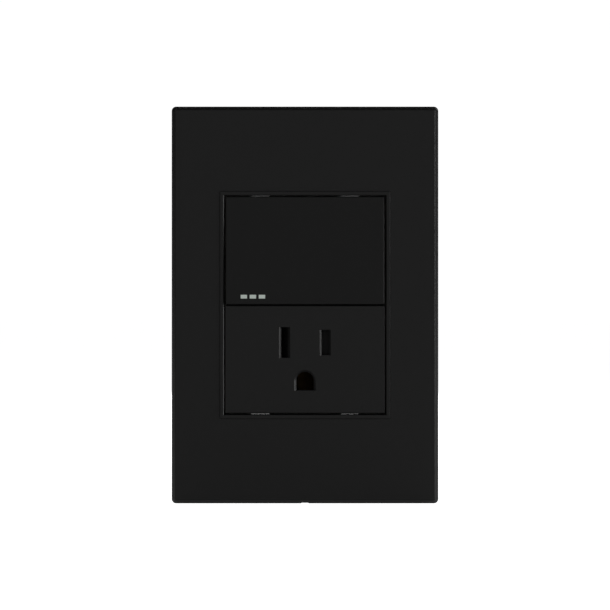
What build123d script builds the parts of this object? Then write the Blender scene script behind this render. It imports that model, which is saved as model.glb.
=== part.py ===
# Wall-box control set: a tap-to-switch dimmer above a single grounded 15 A outlet, both snapped
# into one steel strap behind a screwless wall plate.
#
# Frame, millimetres: X to the right and Z up as the set is seen from the room, Y into the wall.
# The wall surface is Y = 0 and the origin is midway between the two box screws. Most levels below
# are heights in front of the wall, h, so that Y = -h: positive is in the room, negative in the box.

import os

from build123d import *

# ---- wall plate ----
plate_width = 83.3
plate_height = 124.0
plate_front = 8.0  # h of its face
plate_corner = 1.4
plate_wall = 2.0
plate_face = 2.2  # thickness of the face
bevel_across = 1.1
bevel_deep = 2.0
plate_gap = 0.1  # to the trim frame's rim

# ---- window that the two modules fill, and the rim of the trim frame round it ----
window_width = 50.6
window_height = 68.4
rim_border = 1.25
rim_front = plate_front + 0.35
rim_width = window_width + 2 * rim_border
rim_height = window_height + 2 * rim_border

# ---- strap ----
strap = 1.5  # h of its front
strap_rear = 0.3
strap_width = 66.0
strap_height = 94.0
ear_width = 30.0
ear_height = 106.4
strap_window_width = 45.4
window_clearance = 0.15  # round each module's body, which leaves a thin web between the two windows
box_screw_spacing = 83.34  # 3 9/32 in, the North American device box
box_screw_z = box_screw_spacing / 2
shank_start = -1.0  # h where a box screw's thread begins, behind its retainer
hook_x = 14.0  # the trim frame's four hooks
hook_half_width = 2.5

# ---- modules ----
flange_front = strap + 2.0
module_gap = 0.5  # between the two modules, and above and below them
module_height = (window_height - 3 * module_gap) / 2
body_half_width = 22.4
body_wall = 1.5
upper_low, upper_high = module_gap / 2, module_gap / 2 + module_height
lower_low, lower_high = -upper_high, -upper_low
body_inset = 0.2  # the body behind the strap, inside the module's face outline
flange_inset = 0.1
upper_body = (upper_low + body_inset, upper_high - body_inset)
lower_body = (lower_low + body_inset, lower_high - body_inset)
housing_split = -8.0  # h where the dimmer's housing meets its back cover
body_rear = -24.0
body_corner = 0.8

# ---- tap key ----
key_width = 49.4
key_face = 1.8
key_rim = 1.5
key_top_front = 8.2
key_bottom_front = 8.9  # the free edge stands proud
key_rear = 4.9
hinge_z, hinge_h = 29.4, 4.9
pin_radius = 0.75
pin_clearance = 0.05
hinge_lug_x = (17.0, 20.0)
hinge_ear_x = (20.3, 22.3)
tact_z = 8.0
key_hook_x = 7.0
key_rest_gap = 0.15  # from the key's stop hooks to the flange that they catch
spring_x, spring_z = 14.0, 14.0

# ---- light bars ----
bar_count = 3
bar_width, bar_height = 1.95, 1.1
bar_pitch = 2.82
bar_middle = (-16.25, 2.6)
bar_centres = [(bar_middle[0] + (i - 1) * bar_pitch, bar_middle[1]) for i in range(bar_count)]

# ---- control board ----
board_front, board_rear = 0.4, -0.8
board_half_width = 20.5
board_low, board_high = 2.65, 31.25

# ---- outlet ----
outlet_width = 49.8
outlet_front = 8.2
outlet_face_rear = 5.2
skirt = 1.5
blade_x = 6.35  # half of the 12.7 mm blade spacing
blade_z = -11.7
ground_z = -23.6
slot_bevel = 0.65
slot_width = 2.15
neutral_slot_height = 9.6
line_slot_height = 8.0
ground_radius = 2.7
ground_flat = 3.1  # from the ground hole's centre down to its flat
retainer_front, retainer_rear = 1.25, -0.25
contact_sheet = 0.8
contact_bridge = -10.6
contact_height = 7.0

# ---- tamper shutters ----
shutter_travel = 3.2
front_shutter_h = (3.35, 5.1)
rear_shutter_h = (1.4, 3.15)
shutter_half_height = 6.0
shutter_window = (2.6, 9.8)
shutter_reach = (-13.0, 11.0)
shutter_lug = (11.1, 12.5)
shutter_spring_z = -3.6
spring_wall = 0.5  # half the thickness of the wall that both shutter springs push on

# ---- push-in wire holes in the outlet's back ----
wire_entries = [(x, z) for x in (-12.6, 12.6) for z in (-8.4, -15.0)] + [(-12.6, -24.0)]
wire_entry_radius = 1.1
wire_entry_mouth = 1.7

# ---- side terminals ----
terminal_h = -16.4
pocket_half = 4.0
pocket_floor = 17.0
pocket_wall = 1.2
terminal_sheet_x = (17.1, 18.0)
clamp_x = (19.7, 20.5)
screw_head_x = 22.1
upper_terminal_z = (10.4, 23.4)

# ---- screws that hold each module together ----
post_x = 18.9
post_radius = 2.6
head_recess = 1.0
head_radius = 2.1
dimmer_post_front = -0.9  # h of the housing's posts, which the control board rests on
assembly_screw_radius = 1.1
upper_post_z = (3.6, 30.3)
lower_post_z = (-30.2, -3.6)


# ---- helpers: each adds to, or cuts from, the part under construction ----
def level(height):
    """A plane parallel to the wall, at that height in front of it, facing the room."""
    return Plane.XZ.offset(height)


def block(x_span, z_span, h_span, mode=Mode.ADD):
    """A block from its spans across, up, and in front of the wall."""
    (x0, x1), (z0, z1), (h0, h1) = x_span, z_span, h_span
    with Locations(((x0 + x1) / 2, -(h0 + h1) / 2, (z0 + z1) / 2)):
        Box(x1 - x0, h1 - h0, z1 - z0, mode=mode)


def around(centre, half):
    """The span of that half width about a centre."""
    return (centre - half, centre + half)


def to_side(side, span):
    """A span across, put on the right for side 1 or mirrored to the left for side -1."""
    return span if side > 0 else (-span[1], -span[0])


def post(x, z, h_span, radius, mode=Mode.ADD):
    """A round post or hole whose axis is square to the wall."""
    h0, h1 = h_span
    with Locations((x, -(h0 + h1) / 2, z)):
        Cylinder(radius, h1 - h0, rotation=(90, 0, 0), mode=mode)


def crossbar(x_span, z, h, radius, mode=Mode.ADD):
    """A round bar or hole whose axis runs across, along X."""
    x0, x1 = x_span
    with Locations(((x0 + x1) / 2, -h, z)):
        Cylinder(radius, x1 - x0, rotation=(0, 90, 0), mode=mode)


def rim_edges(part, axis=Axis.Y, last=0):
    """Edges of the outermost face along an axis."""
    return part.faces().sort_by(axis)[last].edges()


def save(builder, name):
    """Labels a finished piece and writes its STEP file."""
    builder.part.label = name
    export_step(builder.part, f"parts/{name}.step")


os.makedirs("parts", exist_ok=True)


# ======================================================================
# Wall plate, trim frame, strap and box screws
# ======================================================================
with BuildPart() as wall_plate:
    with BuildSketch(level(0)):
        RectangleRounded(plate_width, plate_height, plate_corner)
    extrude(amount=plate_front)
    front = wall_plate.faces().sort_by(Axis.Y)[0]
    chamfer(front.edges(), length=bevel_across, length2=bevel_deep, reference=front)
    fillet(rim_edges(wall_plate), 0.4)
    with BuildSketch(level(0)):
        RectangleRounded(plate_width - 2 * plate_wall, plate_height - 2 * plate_wall, 1.0)
    extrude(amount=plate_front - plate_face, mode=Mode.SUBTRACT)
    with BuildSketch(level(0)):
        RectangleRounded(rim_width + 2 * plate_gap, rim_height + 2 * plate_gap, 0.75)
    extrude(amount=plate_front, mode=Mode.SUBTRACT)
    # stiffening ribs behind the face, above and below the window
    rib_front = plate_front - plate_face
    for z in (39.0, 47.0, 55.0):
        for end in (1, -1):
            block((-39.7, 39.7), around(end * z, 0.5), (rib_front - 1.4, rib_front))
    # four spring clips that catch behind the trim frame's edge
    for side in (1, -1):
        for z in (36.0, -36.0):
            block(to_side(side, (36.3, 37.7)), around(z, 3.0), (0.4, rib_front))
            block(to_side(side, (35.2, 36.4)), around(z, 3.0), (0.4, 1.35))
    # pry notch in the lower edge
    block((-1.1, 1.1), (-plate_height / 2 - 1, -plate_height / 2 + plate_wall), (3.0, 6.8), Mode.SUBTRACT)

with BuildPart() as trim_frame:
    with BuildSketch(level(flange_front)):
        RectangleRounded(rim_width, rim_height, 0.6)
    extrude(amount=rim_front - flange_front)
    fillet(rim_edges(trim_frame), 0.12)
    with BuildSketch(level(strap)):
        RectangleRounded(72.0, 104.0, 3.0)
        with Locations((0, box_screw_z), (0, -box_screw_z)):
            Circle(5.0, mode=Mode.SUBTRACT)
    extrude(amount=flange_front - strap)
    block(
        around(0, window_width / 2), around(0, window_height / 2), (0, rim_front + 1), Mode.SUBTRACT
    )
    chamfer(trim_frame.faces().sort_by(Axis.Y)[0].inner_wires()[0].edges(), 0.2)
    # hooks that pass through the strap and grip behind it
    for x in (hook_x, -hook_x):
        for end in (1, -1):
            edge = window_height / 2
            arm = (edge + 0.1, edge + 1.0)
            barb = (edge + 0.9, edge + 2.0)
            across = around(x, hook_half_width)
            block(across, to_side(end, arm), (-1.3, strap + 0.1))
            block(across, to_side(end, barb), (-1.3, strap_rear - 0.1))

with BuildPart() as mounting_strap:
    with BuildSketch(level(strap_rear)):
        RectangleRounded(strap_width, strap_height, 3.0)
        RectangleRounded(ear_width, ear_height, 3.0)
        for low, high in (upper_body, lower_body):
            with Locations((0, (low + high) / 2)):
                Rectangle(strap_window_width, high - low + 2 * window_clearance, mode=Mode.SUBTRACT)
        with Locations((0, box_screw_z), (0, -box_screw_z)):
            SlotOverall(8.0, 4.2, mode=Mode.SUBTRACT)
        notch_z = window_height / 2 + 0.65
        with Locations(*[(x, z) for x in (hook_x, -hook_x) for z in (notch_z, -notch_z)]):
            Rectangle(2 * hook_half_width + 0.6, 1.32, mode=Mode.SUBTRACT)
        with Locations(*[(x, z) for x in (28.5, -28.5) for z in (41.0, -41.0)]):
            SlotOverall(5.0, 3.6, mode=Mode.SUBTRACT)
    extrude(amount=strap - strap_rear)
    chamfer(mounting_strap.edges().group_by(Axis.Y)[0], 0.15)

with BuildPart() as mounting_screws:
    for z in (box_screw_z, -box_screw_z):
        with BuildSketch(Plane.YZ) as half_section:
            with BuildLine():
                Polyline(
                    (-strap, z), (-strap, z + 3.45), (-strap - 1.0, z + 3.45), (-strap - 2.1, z + 2.2),
                    (-strap - 2.1, z), close=True,
                )
            make_face()
        revolve(axis=Axis((0, 0, z), (0, 1, 0)))
        post(0, z, (shank_start, strap), 1.6)
        post(0, z, (-19.0, shank_start), 1.75)
        with Locations((0, 19.5, z)):
            Cone(1.75, 1.0, 1.0, rotation=(-90, 0, 0))
        for turn in (0, 90):
            with Locations((0, -strap - 1.6, z)):
                Box(3.6, 1.2, 0.9, rotation=(0, turn, 0), mode=Mode.SUBTRACT)

with BuildPart() as screw_retainers:
    for z in (box_screw_z, -box_screw_z):
        with BuildSketch(level(strap_rear - 0.8)):
            with Locations((0, z)):
                RectangleRounded(8.4, 8.4, 0.8)
                Circle(1.8, mode=Mode.SUBTRACT)
        extrude(amount=0.8)


# ======================================================================
# Parts that both modules share
# ======================================================================
def snap_arm(side, z, h_root):
    """A springy arm in the body's side wall: slits free it, and its barb catches behind the strap."""
    outer = body_half_width
    wall = to_side(side, (outer - body_wall - 0.1, outer + 0.1))
    tip = strap_rear - 0.1
    for edge in (z - 5.4, z + 5.4):
        block(wall, around(edge, 0.4), (h_root, tip), Mode.SUBTRACT)
    block(wall, around(z, 5.8), (tip, 0.9), Mode.SUBTRACT)
    with BuildSketch(Plane.XY.offset(z - 4.0)) as barb:
        with BuildLine():
            Polyline(
                (side * (outer - 0.1), -tip), (side * (outer + 1.1), -tip),
                (side * (outer + 1.1), 0.6 - tip), (side * (outer - 0.1), 2.6 - tip), close=True,
            )
        make_face()
    extrude(barb.sketch, amount=8.0)


def terminal_pocket(side, z):
    """A recess in the body's side wall for one screw terminal, with a slot for its sheet-metal tab."""
    reach = to_side(side, (pocket_floor - pocket_wall, body_half_width))
    block(reach, around(z, pocket_half + pocket_wall), around(terminal_h, pocket_half + pocket_wall))
    inside = to_side(side, (pocket_floor, body_half_width + 1))
    block(inside, around(z, pocket_half), around(terminal_h, pocket_half), Mode.SUBTRACT)
    tab = to_side(side, (pocket_floor - 0.05, terminal_sheet_x[1] + 0.15))
    tab_front = terminal_h + pocket_half + pocket_wall + 0.1
    block(tab, around(z, contact_height / 2 + 0.2), (terminal_h, tab_front), Mode.SUBTRACT)
    floor_hole = to_side(side, (pocket_floor - pocket_wall - 0.1, pocket_floor + 0.1))
    crossbar(floor_hole, z, terminal_h, 2.1, Mode.SUBTRACT)


def terminal_screw(side, z):
    """A binding-head screw in the side terminal, with a slotted and crossed head."""
    crossbar(to_side(side, (16.2, clamp_x[1])), z, terminal_h, 1.7)
    crossbar(to_side(side, (clamp_x[1], screw_head_x)), z, terminal_h, 3.2)
    for length, width in ((6.6, 0.8), (0.8, 3.4)):
        drive = to_side(side, (screw_head_x - 0.8, screw_head_x + 0.1))
        block(drive, around(z, width / 2), around(terminal_h, length / 2), Mode.SUBTRACT)


def clamp_washer(side, z):
    """The square clamp under a terminal screw's head."""
    block(to_side(side, clamp_x), around(z, 3.5), around(terminal_h, 3.5))
    hole = to_side(side, (clamp_x[0] - 0.1, clamp_x[1] + 0.1))
    crossbar(hole, z, terminal_h, 1.8, Mode.SUBTRACT)


def wire_entry(x, z):
    """A push-in hole for a bare wire, with a flared mouth and a release slot beside it."""
    flare = 0.6
    post(x, z, (body_rear - 0.1, body_rear + body_wall + 0.1), wire_entry_radius, Mode.SUBTRACT)
    with Locations((x, -body_rear - flare / 2, z)):
        Cone(wire_entry_radius, wire_entry_mouth, flare, rotation=(-90, 0, 0), mode=Mode.SUBTRACT)
    slot_x = around(x - (3.0 if x > 0 else -3.0), 0.5)
    block(slot_x, around(z, 1.5), (body_rear - 0.1, body_rear + body_wall + 0.1), Mode.SUBTRACT)


def assembly_screw(x, z, head_h, tip_h):
    """A thread-forming screw driven from the back of a module."""
    post(x, z, (head_h - 0.9, head_h), head_radius)
    post(x, z, (head_h, tip_h), assembly_screw_radius)
    for turn in (0, 90):
        with Locations((x, -head_h + 0.75, z)):
            Box(2.6, 0.7, 0.6, rotation=(0, turn, 0), mode=Mode.SUBTRACT)


def coil_spring(name, starts, direction, length, radius, wire, turns):
    """Coil springs of round wire, one at each start point, all running the same way."""
    pitch = (length - wire) / turns
    with BuildPart() as spring:
        for start in starts:
            first = Vector(start) + Vector(direction) * (wire / 2)
            with BuildLine() as path:
                Helix(pitch, length - wire, radius, center=first, direction=direction)
            with BuildSketch(Plane(path.line @ 0, z_dir=path.line % 0)) as section:
                Circle(wire / 2)
            sweep(section.sketch, path=path.line, is_frenet=True)
    save(spring, name)


# ======================================================================
# Dimmer: housing, key and what moves with it
# ======================================================================
with BuildPart() as switch_housing:
    block(around(0, body_half_width), upper_body, (housing_split, strap))
    fillet(switch_housing.edges().filter_by(Axis.Y), body_corner)
    # the flange reaches down to the outlet, so that no light shows between the modules
    block(around(0, 24.6), (lower_high + flange_inset, upper_high - flange_inset), (strap, flange_front))
    inner = (upper_body[0] + body_wall, upper_body[1] - body_wall)
    block(around(0, body_half_width - body_wall), inner, (housing_split, strap), Mode.SUBTRACT)
    for x in (post_x, -post_x):
        for z in upper_post_z:
            post(x, z, (housing_split, dimmer_post_front), post_radius)
            post(x, z, (housing_split, dimmer_post_front - 0.6), assembly_screw_radius + 0.05, Mode.SUBTRACT)
    # pads that hold the control board off the flange
    for x, z in ((post_x, 29.5), (-post_x, 29.5), (post_x, 6.0), (-8.6, 8.2)):
        post(x, z, (board_front + 0.05, strap), 1.2)
    for side in (1, -1):
        snap_arm(side, 16.95, -7.0)
        # hinge ears for the key's pin
        block(to_side(side, hinge_ear_x), around(hinge_z, 1.7), (strap, 6.2))
        crossbar(to_side(side, (20.2, 22.4)), hinge_z, hinge_h, pin_radius, Mode.SUBTRACT)
        # slot for the key's stop hook, and seat for its return spring
        block(around(side * key_hook_x, 1.9), (1.95, 3.6), (strap - 0.1, flange_front + 0.1), Mode.SUBTRACT)
        post(side * spring_x, spring_z, (flange_front - 0.6, flange_front + 0.1), 2.7, Mode.SUBTRACT)
    block(around(0, 3.3), around(tact_z, 3.3), (strap - 0.1, flange_front + 0.1), Mode.SUBTRACT)
    block(around(bar_middle[0], 4.1), (1.7, 5.6), (strap - 0.1, flange_front + 0.1), Mode.SUBTRACT)
save(switch_housing, "switch_housing")

with BuildPart() as switch_back_cover:
    block(around(0, body_half_width), upper_body, (body_rear, housing_split))
    fillet(switch_back_cover.edges().filter_by(Axis.Y), body_corner)
    chamfer(rim_edges(switch_back_cover, last=-1), 0.4)
    block(
        around(0, body_half_width - body_wall), inner, (body_rear + body_wall, housing_split + 1),
        Mode.SUBTRACT,
    )
    # locating lip inside the housing
    lip_outer = body_half_width - body_wall - 0.1
    block(around(0, lip_outer), (inner[0] + 0.1, inner[1] - 0.1), (housing_split - 2.0, housing_split + 0.9))
    block(
        around(0, lip_outer - 0.9), (inner[0] + 1.0, inner[1] - 1.0),
        (housing_split - 2.1, housing_split + 1), Mode.SUBTRACT,
    )
    for x in (post_x, -post_x):
        for z in upper_post_z:
            post(x, z, (housing_split, housing_split + 1), post_radius + 0.2, Mode.SUBTRACT)
            post(x, z, (body_rear, housing_split), post_radius)
    for side in (1, -1):
        block(
            to_side(side, (lip_outer - 1.0, lip_outer + 0.05)), around(16.95, 6.0),
            (housing_split, housing_split + 1), Mode.SUBTRACT,
        )
        for z in upper_terminal_z:
            terminal_pocket(side, z)
    for x in (post_x, -post_x):
        for z in upper_post_z:
            post(x, z, (body_rear - 0.1, housing_split + 1), assembly_screw_radius + 0.2, Mode.SUBTRACT)
            post(x, z, (body_rear - 0.1, body_rear + head_recess), head_radius + 0.2, Mode.SUBTRACT)
    # cooling slots in the back
    for i in range(7):
        block(around(0, 9.0), around(7.0 + 3.3 * i, 0.6), (body_rear - 1, body_rear + body_wall + 1), Mode.SUBTRACT)
save(switch_back_cover, "switch_back_cover")

with BuildPart() as switch_key:
    with BuildSketch(Plane.YZ):
        with BuildLine():
            Polyline(
                (-key_top_front, upper_high), (-key_bottom_front, upper_low),
                (-key_rear, upper_low), (-key_rear, upper_high), close=True,
            )
        make_face()
    extrude(amount=key_width / 2, both=True)
    fillet(rim_edges(switch_key), 0.2)
    fillet(switch_key.edges().filter_by(Axis.Y).group_by(Axis.X)[0], 0.15)
    fillet(switch_key.edges().filter_by(Axis.Y).group_by(Axis.X)[-1], 0.15)
    with BuildSketch(Plane.YZ):
        with BuildLine():
            Polyline(
                (-key_top_front + key_face, upper_high - key_rim),
                (-key_bottom_front + key_face, upper_low + key_rim),
                (-key_rear + 1, upper_low + key_rim), (-key_rear + 1, upper_high - key_rim), close=True,
            )
        make_face()
    extrude(amount=key_width / 2 - key_rim, both=True, mode=Mode.SUBTRACT)
    for side in (1, -1):
        # hinge lugs
        block(to_side(side, hinge_lug_x), around(hinge_z, 1.25), (hinge_h, 7.0))
        crossbar(to_side(side, hinge_lug_x), hinge_z, hinge_h, 1.25)
        crossbar(to_side(side, (16.9, 20.1)), hinge_z, hinge_h, pin_radius + pin_clearance, Mode.SUBTRACT)
        # stop hook that catches behind the flange
        block(around(side * key_hook_x, 1.5), (2.1, 3.1), (0.3, 8.0))
        block(around(side * key_hook_x, 1.5), (1.5, 3.1), (5.4, 8.0))
        block(around(side * key_hook_x, 1.5), (3.0, 4.3), (0.3, strap - key_rest_gap))
        # peg inside the return spring
        post(side * spring_x, spring_z, (5.4, 7.4), 1.3)
    post(0, tact_z, (5.0, 7.6), 1.5)
    for x, z in bar_centres:
        block(around(x, bar_width / 2 + 0.05), around(z, bar_height / 2 + 0.05), (4, 10), Mode.SUBTRACT)
save(switch_key, "switch_key")

with BuildPart() as indicator_lens:
    for x, z in bar_centres:
        block(around(x, bar_width / 2), around(z, bar_height / 2), (6.4, key_bottom_front - 0.07))
    block(around(bar_middle[0], bar_pitch + 1.6), around(bar_middle[1], 0.8), (6.1, 6.95))
    fillet(indicator_lens.edges().filter_by(Axis.Y), 0.15)
save(indicator_lens, "indicator_lens")

with BuildPart() as key_hinge_pin:
    crossbar((-22.2, 22.2), hinge_z, hinge_h, pin_radius)
    chamfer(key_hinge_pin.edges(), 0.2)
save(key_hinge_pin, "key_hinge_pin")

key_spring_length = 3.9
coil_spring(
    "key_return_springs",
    [(side * spring_x, -(flange_front - 0.6), spring_z) for side in (1, -1)],
    (0, -1, 0), key_spring_length, 2.0, 0.4, 4,
)

with BuildPart() as tact_switch_case:
    block(around(0, 3.0), around(tact_z, 3.0), (board_front, 3.9))
    chamfer(tact_switch_case.faces().sort_by(Axis.Y)[0].edges(), 0.3)
    post(0, tact_z, (1.9, 4.0), 1.85, Mode.SUBTRACT)
    for x in (2.2, -2.2):
        for z in (tact_z - 2.2, tact_z + 2.2):
            post(x, z, (3.9, 4.05), 0.45)
save(tact_switch_case, "tact_switch_case")

with BuildPart() as tact_plunger:
    post(0, tact_z, (2.9, 4.9), 1.7)
    fillet(rim_edges(tact_plunger), 0.3)
save(tact_plunger, "tact_plunger")

# ======================================================================
# Dimmer: electronics
# ======================================================================
with BuildPart() as control_board:
    block(around(0, board_half_width), (board_low, board_high), (board_rear, board_front))
    for side in (1, -1):
        block(around(side * key_hook_x, 2.2), (0, 5.2), (-2, 2), Mode.SUBTRACT)
save(control_board, "control_board")

led_z = 4.6
with BuildPart() as indicator_leds:
    for x, _ in bar_centres:
        block(around(x, 0.8), around(led_z, 0.4), (board_front, board_front + 0.35))
        block(around(x, 0.5), around(led_z, 0.4), (board_front + 0.35, board_front + 0.65))
save(indicator_leds, "indicator_leds")

with BuildPart() as light_guide:
    with BuildSketch(Plane.YZ.offset(bar_middle[0] - 3.95)):
        with BuildLine():
            Polyline((-1.2, 3.9), (-1.2, 5.4), (-2.4, 5.4), (-4.2, 3.3), (-4.2, 2.0), (-3.0, 2.0), close=True)
        make_face()
    extrude(amount=7.9)
    for x in (bar_middle[0] - bar_pitch / 2, bar_middle[0] + bar_pitch / 2):
        block(around(x, 0.3), (0, 10), (2.0, 5.0), Mode.SUBTRACT)
save(light_guide, "light_guide")

chip_centre = (8.5, 24.0)
with BuildPart() as controller_chip:
    block(around(chip_centre[0], 5.0), around(chip_centre[1], 2.0), (board_rear - 1.7, board_rear - 0.15))
    for i in range(8):
        x = chip_centre[0] + (i - 3.5) * 1.27
        for end in (1, -1):
            near = chip_centre[1] + end * 2.4
            block(around(x, 0.2), around(near, 0.5), (board_rear - 0.9, board_rear - 0.7))
            foot = chip_centre[1] + end * 2.85
            block(around(x, 0.2), around(foot, 0.15), (board_rear - 0.9, board_rear))
save(controller_chip, "controller_chip")

with BuildPart() as heat_spreader:
    block((-14.0, 14.0), (29.5, 30.8), (-20.5, -2.2))
    block((-14.0, 14.0), (22.0, 30.8), (-21.8, -20.5))
save(heat_spreader, "heat_spreader")

with BuildPart() as triac:
    block((-12.0, -2.0), (28.2, 29.5), (-18.4, -4.0))
    block((-12.0, -2.0), (25.0, 29.5), (-12.6, -3.6))
    for x in (-9.54, -7.0, -4.46):
        block(around(x, 0.4), around(26.7, 0.25), (-3.7, board_rear))
save(triac, "triac")

choke_x, choke_z = -6.8, 14.6
choke_h = (-9.4, -3.4)
choke_outer, choke_inner = 7.4, 4.0
with BuildPart() as choke_core:
    post(choke_x, choke_z, choke_h, choke_outer)
    post(choke_x, choke_z, (choke_h[0] - 1, choke_h[1] + 1), choke_inner, Mode.SUBTRACT)
    fillet(choke_core.edges().filter_by(GeomType.CIRCLE), 0.5)
save(choke_core, "choke_core")

choke_turns = 20
wire_half, wire_gap = 0.4, 0.1
with BuildPart() as choke_winding:
    middle = (choke_outer + choke_inner) / 2
    half_band = (choke_outer - choke_inner) / 2 + wire_gap
    half_deep = (choke_h[1] - choke_h[0]) / 2 + wire_gap
    for i in range(choke_turns):
        angle = 330 * i / choke_turns
        place = Location((choke_x, -(choke_h[0] + choke_h[1]) / 2, choke_z), (0, angle, 0))
        with Locations(place * Location((middle, 0, 0))):
            Box(2 * (half_band + 2 * wire_half), 2 * (half_deep + 2 * wire_half), 2 * wire_half)
            Box(2 * half_band, 2 * half_deep, 4 * wire_half, mode=Mode.SUBTRACT)
save(choke_winding, "choke_winding")

with BuildPart() as film_capacitor:
    block((2.6, 15.0), (7.4, 13.0), (-12.4, board_rear - 0.4))
    fillet(film_capacitor.edges(), 0.4)
    for x in (4.6, 13.0):
        post(x, 10.2, (board_rear - 0.5, board_rear), 0.4)
save(film_capacitor, "film_capacitor")

with BuildPart() as storage_capacitor:
    post(8.6, 17.2, (-12.0, board_rear - 0.3), 3.6)
    fillet(storage_capacitor.edges().filter_by(GeomType.CIRCLE), 0.4)
    for x in (7.3, 9.9):
        post(x, 17.2, (board_rear - 0.4, board_rear), 0.3)
save(storage_capacitor, "storage_capacitor")

with BuildPart() as dimmer_terminal_plates:
    for side in (1, -1):
        for z in upper_terminal_z:
            sheet_x = to_side(side, terminal_sheet_x)
            block(sheet_x, around(z, 3.4), around(terminal_h, 3.4))
            block(sheet_x, around(z, 1.5), (terminal_h + 3.3, board_rear))
            crossbar(to_side(side, (17.0, 18.1)), z, terminal_h, 1.8, Mode.SUBTRACT)
save(dimmer_terminal_plates, "dimmer_terminal_plates")

dimmer_screws = {
    "dimmer_line_screws": [(1, z) for z in upper_terminal_z],
    "dimmer_neutral_screw": [(-1, upper_terminal_z[0])],
    "dimmer_ground_screw": [(-1, upper_terminal_z[1])],
}
for name, places in dimmer_screws.items():
    with BuildPart() as screws:
        for side, z in places:
            terminal_screw(side, z)
    save(screws, name)

with BuildPart() as dimmer_assembly_screws:
    for x in (post_x, -post_x):
        for z in upper_post_z:
            assembly_screw(x, z, body_rear + head_recess, dimmer_post_front - 0.8)
save(dimmer_assembly_screws, "dimmer_assembly_screws")


# ======================================================================
# Outlet: face, shutters, retainer and base
# ======================================================================
def half_mouth(centre, half_width):
    """Corners of the right half of an opening's plan: straight, then flared at the front."""
    side = centre + half_width
    return [
        (centre, -outlet_face_rear), (side, -outlet_face_rear), (side, slot_bevel - outlet_front),
        (side + slot_bevel, -outlet_front), (centre, -outlet_front),
    ]


def slot(centre, half_width, z_span):
    """A slot through the outlet's face, flared along its two long sides."""
    low, high = z_span
    with BuildSketch(Plane.XY.offset(low)) as plan:
        with BuildLine():
            Polyline(*half_mouth(centre, half_width), close=True)
        make_face()
        mirror(about=Plane.YZ.offset(centre))
    extrude(plan.sketch, amount=high - low, mode=Mode.SUBTRACT)


def ground_hole(radius, h_span):
    """The plain ground opening: a round top with straight sides and a flat bottom."""
    post(0, ground_z, h_span, radius, Mode.SUBTRACT)
    block(around(0, radius), (ground_z - ground_flat, ground_z), h_span, Mode.SUBTRACT)


with BuildPart() as outlet_face:
    block(around(0, outlet_width / 2), (lower_low, lower_high), (strap, outlet_front))
    fillet(outlet_face.edges().filter_by(Axis.Y), 0.3)
    fillet(rim_edges(outlet_face), 0.2)
    block(
        around(0, outlet_width / 2 - skirt), (lower_low + skirt, lower_high - skirt),
        (strap, outlet_face_rear), Mode.SUBTRACT,
    )
    slot(-blade_x, slot_width / 2, around(blade_z, neutral_slot_height / 2))
    slot(blade_x, slot_width / 2, around(blade_z, line_slot_height / 2))
    slot(0, ground_radius, (ground_z - ground_flat, ground_z))
    with BuildSketch(Plane.XY.offset(ground_z)) as mouth:
        with BuildLine():
            Polyline(*half_mouth(0, ground_radius), close=True)
        make_face()
    revolve(mouth.sketch, axis=Axis((0, 0, ground_z), (0, 1, 0)), revolution_arc=-180, mode=Mode.SUBTRACT)
    # guide ribs above and below the shutters, and the front shutter's rest stop
    rib_h = (retainer_front + 0.15, outlet_face_rear)
    block((-16, 16), around(blade_z - shutter_half_height - 0.7, 0.5), rib_h)
    shutter_top = blade_z + shutter_half_height
    for side in (1, -1):
        block(to_side(side, (0, 7.5)), (shutter_top + 0.15, shutter_top + 0.65), rib_h)
    block(around(0, spring_wall), (shutter_top + 0.6, lower_high - skirt + 0.1), rib_h)
    block((-14.4, -13.15), around(blade_z, 5.5), (rear_shutter_h[1] + 0.15, outlet_face_rear))
    for x in (post_x, -post_x):
        for z in lower_post_z:
            post(x, z, (retainer_front + 0.05, outlet_face_rear), 2.1)
            post(x, z, (retainer_front, 4.8), assembly_screw_radius + 0.05, Mode.SUBTRACT)
save(outlet_face, "outlet_face")


def tamper_shutter(name, way, h_span):
    """One shutter. Its ramp lies behind one slot, and a blade there slides it towards way.
    Both of its windows then stand behind the slots. A lug at its top takes the spring."""
    rear, front = h_span
    half_window = shutter_window[0] / 2
    ramp_foot = way * (-blade_x - shutter_travel + half_window)
    ramp_top = way * (-blade_x + 0.9)
    far_side = way * (-blade_x - shutter_travel - half_window)
    with BuildPart() as shutter:
        block(to_side(way, shutter_reach), around(blade_z, shutter_half_height), h_span)
        blocked = way * (blade_x - shutter_travel)
        block(around(blocked, half_window), around(blade_z, shutter_window[1] / 2), (0, 6), Mode.SUBTRACT)
        with BuildSketch(Plane.XY.offset(blade_z - shutter_window[1] / 2)):
            with BuildLine():
                Polyline(
                    (far_side, -rear), (ramp_foot, -rear), (ramp_top, -front), (far_side, -front), close=True
                )
            make_face()
        extrude(amount=shutter_window[1], mode=Mode.SUBTRACT)
        top = blade_z + shutter_half_height
        lug_x = to_side(-way, shutter_lug)
        block(lug_x, (top - 0.1, top + 0.2), h_span)
        block(lug_x, (top + 0.1, top + 3.4), (rear_shutter_h[0] + 0.1, front_shutter_h[1] - 0.1))
    save(shutter, name)


tamper_shutter("front_shutter", 1, front_shutter_h)
tamper_shutter("rear_shutter", -1, rear_shutter_h)
for name, side in (("front_shutter_spring", -1), ("rear_shutter_spring", 1)):
    start = (side * spring_wall, -3.25, shutter_spring_z)
    coil_spring(name, [start], (side, 0, 0), shutter_lug[0] - spring_wall, 1.1, 0.3, 9)

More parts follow.
